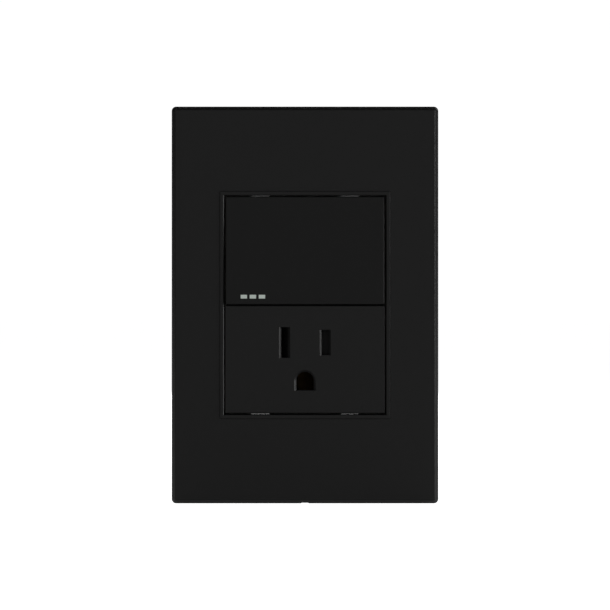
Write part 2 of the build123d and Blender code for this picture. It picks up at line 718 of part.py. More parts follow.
with BuildPart() as contact_retainer:
    block(around(0, 22.2), (lower_body[0] + 0.2, lower_body[1] - 0.2), (retainer_rear, retainer_front))
    block(around(-blade_x, 1.3), around(blade_z, neutral_slot_height / 2), (-1, 2), Mode.SUBTRACT)
    block(around(blade_x, 1.3), around(blade_z, line_slot_height / 2), (-1, 2), Mode.SUBTRACT)
    ground_hole(ground_radius, (-1, 2))
    block((13.15, 14.4), around(blade_z, 5.5), (retainer_front - 0.1, front_shutter_h[0] - 0.15))
    for x in (post_x, -post_x):
        for z in lower_post_z:
            post(x, z, (-1, 2), assembly_screw_radius + 0.2, Mode.SUBTRACT)
save(contact_retainer, "contact_retainer")

outlet_terminals = [(1, blade_z), (-1, blade_z), (-1, ground_z)]
with BuildPart() as outlet_base:
    top_h = retainer_rear - 0.05
    block(around(0, body_half_width), lower_body, (body_rear, top_h))
    fillet(outlet_base.edges().filter_by(Axis.Y), body_corner)
    chamfer(rim_edges(outlet_base, last=-1), 0.4)
    inner_low = (lower_body[0] + body_wall, lower_body[1] - body_wall)
    block(around(0, body_half_width - body_wall), inner_low, (body_rear + body_wall, top_h + 1), Mode.SUBTRACT)
    for x in (post_x, -post_x):
        for z in lower_post_z:
            post(x, z, (body_rear, top_h), post_radius)
    # insulating walls between the three contacts
    block(around(0, body_half_width - 1), (-18.6, -17.6), (body_rear + 1, -1.2))
    block(around(0, 0.6), (-17.7, inner_low[1] + 0.5), (body_rear + 1, -1.2))
    for side, z in outlet_terminals:
        terminal_pocket(side, z)
    for side in (1, -1):
        # the arms stop short of the side pockets
        snap_arm(side, -16.95, -7.0)
    for x in (post_x, -post_x):
        for z in lower_post_z:
            post(x, z, (body_rear - 0.1, top_h + 0.1), assembly_screw_radius + 0.2, Mode.SUBTRACT)
            post(x, z, (body_rear - 0.1, body_rear + head_recess), head_radius + 0.2, Mode.SUBTRACT)
    for x, z in wire_entries:
        wire_entry(x, z)
    # gauge for the length of bare wire
    block(around(0, 6.0), around(-12.0, 0.8), (body_rear - 0.1, body_rear + 0.5), Mode.SUBTRACT)
    # way out for the bonding strip
    block(around(0, 2.4), (lower_body[0] - 1, inner_low[0] + 1), (-14.3, -13.4), Mode.SUBTRACT)
save(outlet_base, "outlet_base")


# ======================================================================
# Outlet: contacts, terminals and bonding
# ======================================================================
def contact(name, side, x, z, height, throat, foot, bridge_h):
    """A blade or pin contact of folded brass, with a tail that ends as the terminal's plate."""
    with BuildPart() as piece:
        with BuildSketch(Plane.XY.offset(z - height / 2)) as plan:
            with BuildLine():
                Polyline(
                    (x - throat - 1.0, 1.3), (x - throat, 4.0), (x - foot, 7.6), (x - foot, -bridge_h),
                    (x + foot, -bridge_h), (x + foot, 7.6), (x + throat, 4.0), (x + throat + 1.0, 1.3),
                )
            trace(line_width=contact_sheet)
            with BuildLine():
                sheet_x = side * sum(terminal_sheet_x) / 2
                Polyline(
                    (x + side * foot, -contact_bridge), (sheet_x, -contact_bridge),
                    (sheet_x, -terminal_h + 3.4),
                )
            trace(line_width=contact_sheet)
        extrude(amount=height)
        crossbar(to_side(side, (17.0, 18.1)), z, terminal_h, 1.8, Mode.SUBTRACT)
    save(piece, name)


contact("line_contact", 1, blade_x, blade_z, contact_height, 1.15, 1.6, contact_bridge)
contact("neutral_contact", -1, -blade_x, blade_z, contact_height, 1.15, 1.6, contact_bridge)
contact("ground_contact", -1, 0.0, ground_z, 5.4, 2.65, 3.1, -13.2)

with BuildPart() as bonding_strip:
    with BuildSketch(Plane.YZ.offset(-2.0)):
        with BuildLine():
            foot = 0.25 - strap_rear
            Polyline((13.85, -21.5), (13.85, -34.2), (foot, -34.2), (foot, -37.2))
        trace(line_width=0.5)
    extrude(amount=4.0)
    post(0, -35.9, (-0.7, 0.0), 1.0)
save(bonding_strip, "bonding_strip")

outlet_screws = {"outlet_line_screw": (1, blade_z), "outlet_neutral_screw": (-1, blade_z),
                 "outlet_ground_screw": (-1, ground_z)}
for name, (side, z) in outlet_screws.items():
    with BuildPart() as screw:
        terminal_screw(side, z)
    save(screw, name)

with BuildPart() as clamp_washers:
    for side, z in outlet_terminals + [(side, z) for side in (1, -1) for z in upper_terminal_z]:
        clamp_washer(side, z)
save(clamp_washers, "clamp_washers")

with BuildPart() as outlet_assembly_screws:
    for x in (post_x, -post_x):
        for z in lower_post_z:
            assembly_screw(x, z, body_rear + head_recess, 4.4)
save(outlet_assembly_screws, "outlet_assembly_screws")

save(wall_plate, "wall_plate")
save(trim_frame, "trim_frame")
save(mounting_strap, "mounting_strap")
save(mounting_screws, "mounting_screws")
save(screw_retainers, "screw_retainers")
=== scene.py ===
# %% [markdown]
# # A wall dimmer and outlet in one frame
#
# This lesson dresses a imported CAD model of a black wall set: a wide dimmer key above one grounded
# outlet, inside a screwless wall plate. The CAD gives every shape its place and size. Blender adds
# what CAD leaves plain: threads, drive recesses, coiled springs, a wound choke, and the finishes.

# %% Load the fixed frame
import math

import bpy
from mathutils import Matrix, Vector


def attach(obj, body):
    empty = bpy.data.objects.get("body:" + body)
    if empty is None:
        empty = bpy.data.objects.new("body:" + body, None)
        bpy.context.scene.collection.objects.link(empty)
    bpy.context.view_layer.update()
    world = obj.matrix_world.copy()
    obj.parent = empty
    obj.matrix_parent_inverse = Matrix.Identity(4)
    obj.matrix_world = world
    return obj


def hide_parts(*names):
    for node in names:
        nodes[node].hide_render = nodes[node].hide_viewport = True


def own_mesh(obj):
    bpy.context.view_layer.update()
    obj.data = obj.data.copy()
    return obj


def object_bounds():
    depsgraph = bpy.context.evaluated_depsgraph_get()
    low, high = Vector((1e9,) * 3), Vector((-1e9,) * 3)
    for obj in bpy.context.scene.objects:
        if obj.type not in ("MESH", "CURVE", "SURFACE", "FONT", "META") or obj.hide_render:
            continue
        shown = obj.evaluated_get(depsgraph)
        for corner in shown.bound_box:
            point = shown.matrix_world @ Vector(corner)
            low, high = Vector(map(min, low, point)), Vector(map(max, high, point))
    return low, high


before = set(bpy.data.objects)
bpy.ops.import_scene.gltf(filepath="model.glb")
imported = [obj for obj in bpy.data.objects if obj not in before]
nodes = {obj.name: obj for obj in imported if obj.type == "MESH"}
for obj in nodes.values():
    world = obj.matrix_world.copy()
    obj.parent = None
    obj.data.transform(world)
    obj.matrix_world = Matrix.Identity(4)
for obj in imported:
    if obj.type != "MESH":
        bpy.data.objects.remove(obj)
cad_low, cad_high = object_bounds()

mm = 0.001
print("CAD nodes:", len(nodes))

# %% [markdown]
# ## The camera
#
# A catalogue shows a wall plate dead straight on. A long lens far away keeps the plate's sides
# parallel, so the camera stands about a metre off with a 200 mm lens, level with the middle.

# %% Camera straight in front
scene = bpy.context.scene
field = 190.3 * mm
lens, sensor = 200.0, 36.0
eye = bpy.data.cameras.new("camera")
eye.lens = lens
eye.sensor_width = sensor
eye.clip_start, eye.clip_end = 0.01, 50
camera = bpy.data.objects.new("camera", eye)
camera.location = (0, -(8 * mm + field * lens / sensor), 0)
camera.rotation_euler = (math.pi / 2, 0, 0)
scene.collection.objects.link(camera)
scene.camera = camera
scene.view_settings.view_transform = "Standard"
print("camera at", [round(v, 3) for v in camera.location])

# %% [markdown]
# ## The studio
#
# Black plastic shows what it mirrors more than its own colour. So the room is nearly dark for
# reflections, and white only where the camera looks past the object. One broad dim panel behind the
# camera gives the flat faces their even grey, a tall strip on the right draws thin lights on edges
# that lean that way, and panels high in front and far behind light the colours and the back.

# %% The room
world = bpy.data.worlds.new("room")
scene.world = world
world.use_nodes = True
room = world.node_tree
room.nodes.clear()
seen_strength, lighting_strength = 1.02, 0.03
sight = room.nodes.new("ShaderNodeLightPath")
seen = room.nodes.new("ShaderNodeBackground")
seen.inputs["Color"].default_value = (1, 1, 1, 1)
seen.inputs["Strength"].default_value = seen_strength
around = room.nodes.new("ShaderNodeBackground")
around.inputs["Color"].default_value = (1.0, 0.995, 0.99, 1)
around.inputs["Strength"].default_value = lighting_strength
either = room.nodes.new("ShaderNodeMixShader")
out = room.nodes.new("ShaderNodeOutputWorld")
room.links.new(sight.outputs["Is Camera Ray"], either.inputs["Fac"])
room.links.new(around.outputs[0], either.inputs[1])
room.links.new(seen.outputs[0], either.inputs[2])
room.links.new(either.outputs[0], out.inputs["Surface"])
print("room shaders:", len(room.nodes))


# %% The lamps
def panel(name, place, size, watts, aim=(0, 0, 0)):
    lamp = bpy.data.lights.new(name, "AREA")
    lamp.shape = "RECTANGLE"
    lamp.size, lamp.size_y = size
    lamp.energy = watts
    thing = bpy.data.objects.new(name, lamp)
    thing.location = place
    toward = Vector(aim) - Vector(place)
    thing.rotation_euler = toward.to_track_quat("-Z", "Y").to_euler()
    scene.collection.objects.link(thing)
    return thing


lamps = [
    panel("front_panel", (0.0, -1.6, 0.1), (1.8, 1.8), 2.5),
    panel("strip_right", (0.88, -0.2, 0.0), (0.36, 0.8), 4.6),
    panel("high_front", (-0.6, -0.7, 0.9), (0.5, 0.4), 0.9),
    panel("behind_high", (0.15, 1.2, 0.45), (1.0, 0.6), 8.0),
    panel("behind_level", (0.0, 1.3, 0.0), (1.0, 0.5), 3.0),
]
print("lamps:", [lamp.name for lamp in lamps])

# %% The floor
floor_mesh = bpy.data.meshes.new("floor")
reach, level = 12.0, cad_low.z - 0.0006
floor_mesh.from_pydata(
    [(-reach, -reach, level), (reach, -reach, level), (reach, reach, level), (-reach, reach, level)],
    [], [(0, 1, 2, 3)])
floor = bpy.data.objects.new("floor", floor_mesh)
scene.collection.objects.link(floor)
print("floor at z =", round(level / mm, 1), "mm")

# %% [markdown]
# ## Helpers for node trees
#
# Every tree below is built from the same three moves: add a node, set its sockets, wire it. Two
# short helpers keep the steps readable. `add` makes a node and fills its inputs, and a value that
# is itself a socket becomes a wire.


# %% Node helpers
def plug(tree, socket, value):
    if isinstance(value, bpy.types.NodeSocket):
        tree.links.new(value, socket)
    else:
        socket.default_value = value


def add(tree, kind, inputs=None, **settings):
    node = tree.nodes.new(kind)
    for key, value in settings.items():
        setattr(node, key, value)
    for key, value in (inputs or {}).items():
        plug(tree, node.inputs[key], value)
    return node


def maths(tree, operation, a, b=0.0, c=0.0, clamp=False):
    kind = "ShaderNodeMath"
    return add(tree, kind, {0: a, 1: b, 2: c}, operation=operation, use_clamp=clamp).outputs[0]


def stretch(tree, value, low, high, to_low=0.0, to_high=1.0):
    inputs = {"Value": value, "From Min": low, "From Max": high, "To Min": to_low, "To Max": to_high}
    return add(tree, "ShaderNodeMapRange", inputs).outputs["Result"]


def sockets(tree, direction, listed):
    for name, kind, default in listed:
        socket = tree.interface.new_socket(name, in_out=direction, socket_type="NodeSocket" + kind)
        if default is not None:
            socket.default_value = default


print("helpers ready")

# %% [markdown]
# ## Shared surface effects
#
# Real finishes share a few habits: moulded plastic carries the fine pits of its mould, edges polish
# with handling, dust settles on what faces up, and rolled metal has drawn lines. Each habit is one
# shader node group that hands out only masks and heights, and each material uses it in its own way.


# %% Moulded texture: the fine pits of a spark-eroded mould
def make_moulded_texture():
    tree = bpy.data.node_groups.new("moulded_texture", "ShaderNodeTree")
    sockets(tree, "INPUT", [("Pit size", "Float", 0.0003), ("Blotch size", "Float", 0.012)])
    sockets(tree, "OUTPUT", [("Height", "Float", None), ("Blotches", "Float", None)])
    given = add(tree, "NodeGroupInput")
    spot = add(tree, "ShaderNodeTexCoord").outputs["Object"]
    fine = maths(tree, "DIVIDE", 1.0, given.outputs["Pit size"])
    broad = maths(tree, "DIVIDE", 1.0, given.outputs["Blotch size"])
    grain = add(tree, "ShaderNodeTexNoise", {"Vector": spot, "Scale": fine, "Detail": 3.0, "Roughness": 0.6})
    pits = add(tree, "ShaderNodeTexVoronoi", {"Vector": spot, "Scale": fine}, feature="SMOOTH_F1")
    mixed = maths(tree, "MULTIPLY_ADD", pits.outputs["Distance"], 0.6, grain.outputs["Fac"])
    blotch = add(tree, "ShaderNodeTexNoise", {"Vector": spot, "Scale": broad, "Detail": 2.0})
    result = add(tree, "NodeGroupOutput")
    tree.links.new(mixed, result.inputs["Height"])
    tree.links.new(blotch.outputs["Fac"], result.inputs["Blotches"])
    return tree


moulded_texture = make_moulded_texture()
print(moulded_texture.name, "has", len(moulded_texture.nodes), "nodes")


# %% Edge wear: where a rounded normal parts from the true one
def make_edge_wear():
    tree = bpy.data.node_groups.new("edge_wear", "ShaderNodeTree")
    sockets(tree, "INPUT", [("Width", "Float", 0.0003), ("Break-up size", "Float", 0.002)])
    sockets(tree, "OUTPUT", [("Edge", "Float", None)])
    given = add(tree, "NodeGroupInput")
    round_normal = add(tree, "ShaderNodeBevel", {"Radius": given.outputs["Width"]}, samples=4)
    true_normal = add(tree, "ShaderNodeNewGeometry").outputs["True Normal"]
    agree = add(tree, "ShaderNodeVectorMath", {0: round_normal.outputs[0], 1: true_normal},
                operation="DOT_PRODUCT").outputs["Value"]
    edge = stretch(tree, agree, 0.998, 0.85)
    spot = add(tree, "ShaderNodeTexCoord").outputs["Object"]
    scale = maths(tree, "DIVIDE", 1.0, given.outputs["Break-up size"])
    patches = add(tree, "ShaderNodeTexNoise", {"Vector": spot, "Scale": scale, "Detail": 3.0})
    rubbed = stretch(tree, patches.outputs["Fac"], 0.35, 0.65, 0.35, 1.0)
    result = add(tree, "NodeGroupOutput")
    tree.links.new(maths(tree, "MULTIPLY", edge, rubbed), result.inputs["Edge"])
    return tree


edge_wear = make_edge_wear()
print(edge_wear.name, "has", len(edge_wear.nodes), "nodes")


# %% Dust: a thin speckle on what faces up
def make_dust():
    tree = bpy.data.node_groups.new("dust", "ShaderNodeTree")
    sockets(tree, "INPUT", [("Amount", "Float", 0.3), ("Speck size", "Float", 0.0006)])
    sockets(tree, "OUTPUT", [("Mask", "Float", None)])
    given = add(tree, "NodeGroupInput")
    facing = add(tree, "ShaderNodeSeparateXYZ", {0: add(tree, "ShaderNodeNewGeometry").outputs["Normal"]})
    upward = stretch(tree, facing.outputs["Z"], 0.55, 0.95)
    spot = add(tree, "ShaderNodeTexCoord").outputs["Object"]
    scale = maths(tree, "DIVIDE", 1.0, given.outputs["Speck size"])
    specks = add(tree, "ShaderNodeTexNoise", {"Vector": spot, "Scale": scale, "Detail": 4.0})
    settled = stretch(tree, specks.outputs["Fac"], 0.42, 0.72)
    result = add(tree, "NodeGroupOutput")
    laid = maths(tree, "MULTIPLY", maths(tree, "MULTIPLY", upward, settled), given.outputs["Amount"])
    tree.links.new(laid, result.inputs["Mask"])
    return tree


dust = make_dust()
print(dust.name, "has", len(dust.nodes), "nodes")


# %% Drawn lines: the streaks that rolling leaves along a metal strip
def make_drawn_lines():
    tree = bpy.data.node_groups.new("drawn_lines", "ShaderNodeTree")
    sockets(tree, "INPUT", [("Across", "Float", 9000.0), ("Along", "Float", 250.0)])
    sockets(tree, "OUTPUT", [("Height", "Float", None), ("Stain", "Float", None)])
    given = add(tree, "NodeGroupInput")
    spot = add(tree, "ShaderNodeTexCoord").outputs["Object"]
    scale = add(tree, "ShaderNodeCombineXYZ", {
        0: given.outputs["Across"], 1: given.outputs["Across"], 2: given.outputs["Along"]})
    squeezed = add(tree, "ShaderNodeVectorMath", {0: spot, 1: scale.outputs[0]}, operation="MULTIPLY")
    streaks = add(tree, "ShaderNodeTexNoise", {"Vector": squeezed.outputs[0], "Scale": 1.0, "Detail": 3.0})
    stain = add(tree, "ShaderNodeTexNoise", {"Vector": spot, "Scale": 160.0, "Detail": 4.0})
    result = add(tree, "NodeGroupOutput")
    tree.links.new(streaks.outputs["Fac"], result.inputs["Height"])
    tree.links.new(stain.outputs["Fac"], result.inputs["Stain"])
    return tree


drawn_lines = make_drawn_lines()
print(drawn_lines.name, "has", len(drawn_lines.nodes), "nodes")

# %% [markdown]
# ## Finishes
#
# A finish starts from one Principled shader. `finish` makes the material and sets the sockets that
# are the same all over, and the recipes for plastic and metal then wire the shared groups into
# colour, roughness and normal.


# %% Start a finish
def finish(name, roughness, metallic=0.0, ior=1.5, **constant):
    paint = bpy.data.materials.new(name)
    paint.use_nodes = True
    tree = paint.node_tree
    shader = tree.nodes["Principled BSDF"]
    shader.inputs["Roughness"].default_value = roughness
    shader.inputs["Metallic"].default_value = metallic
    shader.inputs["IOR"].default_value = ior
    for socket, value in constant.items():
        shader.inputs[socket.replace("_", " ")].default_value = value
    return paint, tree, shader


def group(tree, shared, **inputs):
    node = tree.nodes.new("ShaderNodeGroup")
    node.node_tree = shared
    for key, value in inputs.items():
        node.inputs[key.replace("_", " ")].default_value = value
    return node


def blend_colours(tree, mask, low, high):
    node = tree.nodes.new("ShaderNodeMix")
    node.data_type = "RGBA"
    plug(tree, node.inputs["Factor"], mask)
    plug(tree, node.inputs["A"], low)
    plug(tree, node.inputs["B"], high)
    return node.outputs["Result"]


def rgb(r, g, b):
    return (r, g, b, 1.0)


print("finish helpers ready")


# %% Moulded plastic
def plastic(name, colour, roughness=0.42, pits=0.0003, depth=0.000012, worn=(0.03, 0.03, 0.032),
            rub=0.5, dusty=0.25, tint=0.12, **constant):
    paint, tree, shader = finish(name, roughness, **constant)
    skin = group(tree, moulded_texture, Pit_size=pits)
    edges = group(tree, edge_wear)
    laid = group(tree, dust, Amount=dusty)
    dark = rgb(*[c * (1 - tint) for c in colour])
    light = rgb(*[c * (1 + tint) for c in colour])
    body = blend_colours(tree, skin.outputs["Blotches"], dark, light)
    rubbed = blend_colours(tree, maths(tree, "MULTIPLY", edges.outputs["Edge"], rub), body, rgb(*worn))
    dusted = blend_colours(tree, laid.outputs["Mask"], rubbed, rgb(0.16, 0.15, 0.14))
    plug(tree, shader.inputs["Base Color"], dusted)
    mottled = stretch(tree, skin.outputs["Blotches"], 0.3, 0.7, roughness - 0.03, roughness + 0.03)
    polished = maths(tree, "MULTIPLY_ADD", edges.outputs["Edge"], -0.08, mottled)
    plug(tree, shader.inputs["Roughness"], maths(tree, "MULTIPLY_ADD", laid.outputs["Mask"], 0.4, polished))
    bump = add(tree, "ShaderNodeBump", {"Height": skin.outputs["Height"], "Distance": depth, "Strength": 0.6})
    plug(tree, shader.inputs["Normal"], bump.outputs["Normal"])
    return paint


plate_black = plastic("plate_black", (0.0078, 0.0078, 0.0079), roughness=0.4, rub=0.12, dusty=0.03)
rim_black = plastic("rim_black", (0.0078, 0.0078, 0.0079), roughness=0.38, rub=0.12, dusty=0.03)
key_black = plastic("key_black", (0.0058, 0.0058, 0.0059), roughness=0.4, pits=0.00022, depth=0.000006,
                    rub=0.12, dusty=0.03, ior=1.45)
face_black = plastic("face_black", (0.0078, 0.0078, 0.0079), roughness=0.4, rub=0.12, dusty=0.03)
body_black = plastic("body_black", (0.018, 0.018, 0.019), roughness=0.52, pits=0.0005, depth=0.00003,
                     worn=(0.06, 0.06, 0.06), tint=0.2, dusty=0.4)
shutter_black = plastic("shutter_black", (0.006, 0.006, 0.0062), roughness=0.5, dusty=0.0, ior=1.35,
                        worn=(0.01, 0.01, 0.01))
chip_black = plastic("chip_black", (0.018, 0.018, 0.018), roughness=0.5, pits=0.0001, dusty=0.2)
print("plastics:", [m.name for m in bpy.data.materials if m.name.endswith("_black")])


# %% Metal
def metal(name, colour, roughness=0.3, streak=0.000004, tarnish=None, across=9000.0, along=250.0,
          bright=None, **constant):
    paint, tree, shader = finish(name, roughness, metallic=1.0, **constant)
    lines = group(tree, drawn_lines, Across=across, Along=along)
    edges = group(tree, edge_wear, Width=0.00015)
    dull = tarnish or tuple(c * 0.72 for c in colour)
    shine = bright or tuple(min(1.0, c * 1.15) for c in colour)
    stained = stretch(tree, lines.outputs["Stain"], 0.35, 0.7)
    body = blend_colours(tree, stained, rgb(*colour), rgb(*dull))
    plug(tree, shader.inputs["Base Color"], blend_colours(tree, edges.outputs["Edge"], body, rgb(*shine)))
    uneven = stretch(tree, lines.outputs["Stain"], 0.3, 0.7, roughness - 0.05, roughness + 0.12)
    plug(tree, shader.inputs["Roughness"], uneven)
    bump = add(tree, "ShaderNodeBump", {"Height": lines.outputs["Height"], "Distance": streak, "Strength": 0.5})
    plug(tree, shader.inputs["Normal"], bump.outputs["Normal"])
    return paint


# Strap: a dark grey steel, darker than plated steel as painted shade, so the gaps around the modules stay dark
# instead of showing its glints.
strap_steel = metal("strap_steel", (0.2, 0.2, 0.19), 0.6, tarnish=(0.15, 0.15, 0.14))
screw_steel = metal("screw_steel", (0.58, 0.57, 0.54), 0.27, streak=0.000002, tarnish=(0.45, 0.43, 0.36))
spring_steel = metal("spring_steel", (0.5, 0.5, 0.51), 0.25, streak=0.000001)
nickel = metal("nickel", (0.62, 0.6, 0.55), 0.24, streak=0.000002)
brass = metal("brass", (0.68, 0.48, 0.2), 0.26, tarnish=(0.42, 0.27, 0.1))
# Outlet contacts: a dull brass, darkened well below the terminal brass as painted shade so they read black
# inside the slots; the tarnish colour carries part of that painted shade.
contact_brass_shaded = metal("contact_brass_shaded", (0.3, 0.2, 0.085), 0.62, tarnish=(0.12, 0.075, 0.035),
                      bright=(0.5, 0.36, 0.16))
green_screw = metal("green_screw", (0.05, 0.27, 0.11), 0.3, streak=0.000002, tarnish=(0.02, 0.15, 0.06),
                    bright=(0.3, 0.5, 0.32))
aluminium = metal("aluminium", (0.72, 0.72, 0.73), 0.33, streak=0.000006)
copper = metal("copper", (0.62, 0.26, 0.1), 0.22, streak=0.000001, across=1500.0, along=1500.0,
               Coat_Weight=0.7, Coat_Roughness=0.1)
print("metals ready")

# %% The small finishes: light bars, clear guide, board, fibre, ferrite, capacitors
lens_white = plastic("lens_white", (0.60, 0.66, 0.61), roughness=0.35, pits=0.0002, depth=0.000004,
                     worn=(0.62, 0.68, 0.63), dusty=0.0, tint=0.04,
                     Emission_Color=(0.62, 0.7, 0.64, 1.0), Emission_Strength=0.25)
retainer_fibre = plastic("retainer_fibre", (0.33, 0.2, 0.12), roughness=0.7, pits=0.0004, depth=0.00003,
                         worn=(0.5, 0.36, 0.24), tint=0.25)
ferrite = plastic("ferrite", (0.09, 0.2, 0.12), roughness=0.38, pits=0.0008, depth=0.00005,
                  worn=(0.16, 0.3, 0.2), tint=0.15)
capacitor_yellow = plastic("capacitor_yellow", (0.62, 0.38, 0.03), roughness=0.3, pits=0.0015,
                           depth=0.00003, worn=(0.75, 0.5, 0.08), tint=0.08)
capacitor_sleeve = plastic("capacitor_sleeve", (0.02, 0.03, 0.09), roughness=0.28, pits=0.001,
                           depth=0.00002, worn=(0.05, 0.06, 0.15))
led_white = plastic("led_white", (0.75, 0.72, 0.5), roughness=0.25, pits=0.0002, depth=0.000003,
                    worn=(0.8, 0.8, 0.7), dusty=0.0)


def clear_guide():
    paint, tree, shader = finish("guide_clear", 0.08, ior=1.49, Transmission_Weight=1.0)
    skin = group(tree, moulded_texture, Pit_size=0.0008)
    tint = blend_colours(tree, skin.outputs["Blotches"], rgb(0.86, 0.9, 0.92), rgb(0.93, 0.95, 0.96))
    plug(tree, shader.inputs["Base Color"], tint)
    bump = add(tree, "ShaderNodeBump", {"Height": skin.outputs["Height"], "Distance": 0.000004})
    plug(tree, shader.inputs["Normal"], bump.outputs["Normal"])
    return paint


def solder_mask():
    paint, tree, shader = finish("board_green", 0.28, Coat_Weight=0.4, Coat_Roughness=0.12)
    spot = add(tree, "ShaderNodeTexCoord").outputs["Object"]
    cells = add(tree, "ShaderNodeTexVoronoi", {"Vector": spot, "Scale": 330.0}, distance="MANHATTAN",
                feature="DISTANCE_TO_EDGE").outputs["Distance"]
    tracks = stretch(tree, cells, 0.09, 0.05)
    weave = add(tree, "ShaderNodeTexNoise", {"Vector": spot, "Scale": 900.0, "Detail": 2.0}).outputs["Fac"]
    mask = blend_colours(tree, weave, rgb(0.008, 0.07, 0.03), rgb(0.014, 0.1, 0.045))
    plug(tree, shader.inputs["Base Color"], blend_colours(tree, tracks, mask, rgb(0.03, 0.2, 0.08)))
    bump = add(tree, "ShaderNodeBump", {"Height": tracks, "Distance": 0.00004, "Strength": 0.5})
    plug(tree, shader.inputs["Normal"], bump.outputs["Normal"])
    return paint


guide_clear = clear_guide()
board_green = solder_mask()
print("materials so far:", len(bpy.data.materials))

# %% The floor's finish
floor_paint, floor_tree, floor_shader = finish("floor_paper", 0.9)
paper = add(floor_tree, "ShaderNodeTexNoise", {"Scale": 40.0, "Detail": 3.0,
            "Vector": add(floor_tree, "ShaderNodeTexCoord").outputs["Object"]})
plug(floor_tree, floor_shader.inputs["Base Color"],
     blend_colours(floor_tree, paper.outputs["Fac"], rgb(0.72, 0.72, 0.72), rgb(0.76, 0.76, 0.75)))
direct = add(floor_tree, "ShaderNodeLightPath").outputs["Is Camera Ray"]
glow = add(floor_tree, "ShaderNodeEmission", {"Color": rgb(1, 1, 1), "Strength": 0.98})
sheen = add(floor_tree, "ShaderNodeEmission", {"Color": rgb(1, 1, 1), "Strength": 0.1})
bright = add(floor_tree, "ShaderNodeAddShader", {0: floor_shader.outputs[0], 1: glow.outputs[0]})
calm = add(floor_tree, "ShaderNodeAddShader", {0: floor_shader.outputs[0], 1: sheen.outputs[0]})
shown = add(floor_tree, "ShaderNodeMixShader", {"Fac": direct, 1: calm.outputs[0], 2: bright.outputs[0]})
floor_tree.links.new(shown.outputs[0], floor_tree.nodes["Material Output"].inputs["Surface"])
floor.data.materials.append(floor_paint)
print("floor finished")

# %% [markdown]
# ## Dressing the CAD pieces
#
# Most CAD shapes are right as they are: plate, rim, key, outlet face, strap, housings and contacts.
# They keep their meshes and only get a finish in their material slots.

# %% Give each kept node its finish
dress = {
    "wall_plate": plate_black,
    "trim_frame": rim_black,
    "switch_key": key_black,
    "outlet_face": face_black,
    "indicator_lens": lens_white,
    "front_shutter": shutter_black,
    "rear_shutter": shutter_black,
    "mounting_strap": strap_steel,
    "screw_retainers": retainer_fibre,
    "switch_housing": body_black,
    "switch_back_cover": body_black,
    "outlet_base": body_black,
    "contact_retainer": body_black,
    "key_hinge_pin": spring_steel,
    "tact_switch_case": nickel,
    "tact_plunger": body_black,
    "control_board": board_green,
    "indicator_leds": led_white,
    "light_guide": guide_clear,
    "controller_chip": chip_black,
    "triac": chip_black,
    "heat_spreader": aluminium,
    "choke_core": ferrite,
    "film_capacitor": capacitor_yellow,
    "storage_capacitor": capacitor_sleeve,
    "dimmer_terminal_plates": brass,
    "line_contact": contact_brass_shaded,
    "neutral_contact": contact_brass_shaded,
    "ground_contact": contact_brass_shaded,
    "bonding_strip": contact_brass_shaded,
    "clamp_washers": nickel,
}
for name, paint in dress.items():
    for index in range(len(nodes[name].material_slots)):
        nodes[name].material_slots[index].material = paint
print("dressed", len(dress), "of", len(nodes), "nodes")

# %% [markdown]
# ## Screws by rule
#
# Every screw here is the same idea: a domed head turned on a lathe, a drive recess cut across it, a
# core, and one ridge that climbs round it. So one Geometry Nodes tree makes them all from named
# sizes, and a small mesh with one vertex per screw says where they stand. The head points along +Z
# in the tree, and a turn of the whole instance lays it along X or Y.


# %% The start and the end that every tree shares
def start_tree(name, listed):
    tree = bpy.data.node_groups.new(name, "GeometryNodeTree")
    sockets(tree, "INPUT", [("Places", "Geometry", None)] + listed + [
        ("Turn", "Vector", (0.0, 0.0, 0.0)), ("Seed", "Int", 1), ("Finish", "Material", None)])
    sockets(tree, "OUTPUT", [("Geometry", "Geometry", None)])
    tree.is_modifier = True
    return tree, add(tree, "NodeGroupInput").outputs


def end_tree(tree, given, shape, spin=False):
    points = add(tree, "GeometryNodeMeshToPoints", {"Mesh": given["Places"]}).outputs[0]
    placed = add(tree, "GeometryNodeInstanceOnPoints", {
        "Points": points, "Instance": shape, "Rotation": given["Turn"]}).outputs[0]
    if spin:
        angle = add(tree, "FunctionNodeRandomValue", {
            "Min": (0.0, 0.0, 0.0), "Max": (0.0, 0.0, math.pi), "Seed": given["Seed"]},
            data_type="FLOAT_VECTOR").outputs[0]
        placed = add(tree, "GeometryNodeRotateInstances", {
            "Instances": placed, "Rotation": angle, "Local Space": True}).outputs[0]
    real = add(tree, "GeometryNodeRealizeInstances", {0: placed}).outputs[0]
    painted = add(tree, "GeometryNodeSetMaterial", {"Geometry": real, "Material": given["Finish"]}).outputs[0]
    add(tree, "NodeGroupOutput", {0: painted})


print("shared ends ready")


# %% A lathe: a flat grid rolled up round Z, with its outline from two curves
def outline(tree, along, shape):
    node = add(tree, "ShaderNodeFloatCurve", {"Value": along})
    curve = node.mapping.curves[0]
    while len(curve.points) < len(shape):
        curve.points.new(0.5, 0.5)
    for point, (x, y) in zip(curve.points, shape):
        point.location = (x, y)
        point.handle_type = "VECTOR"
    node.mapping.update()
    return node.outputs[0]


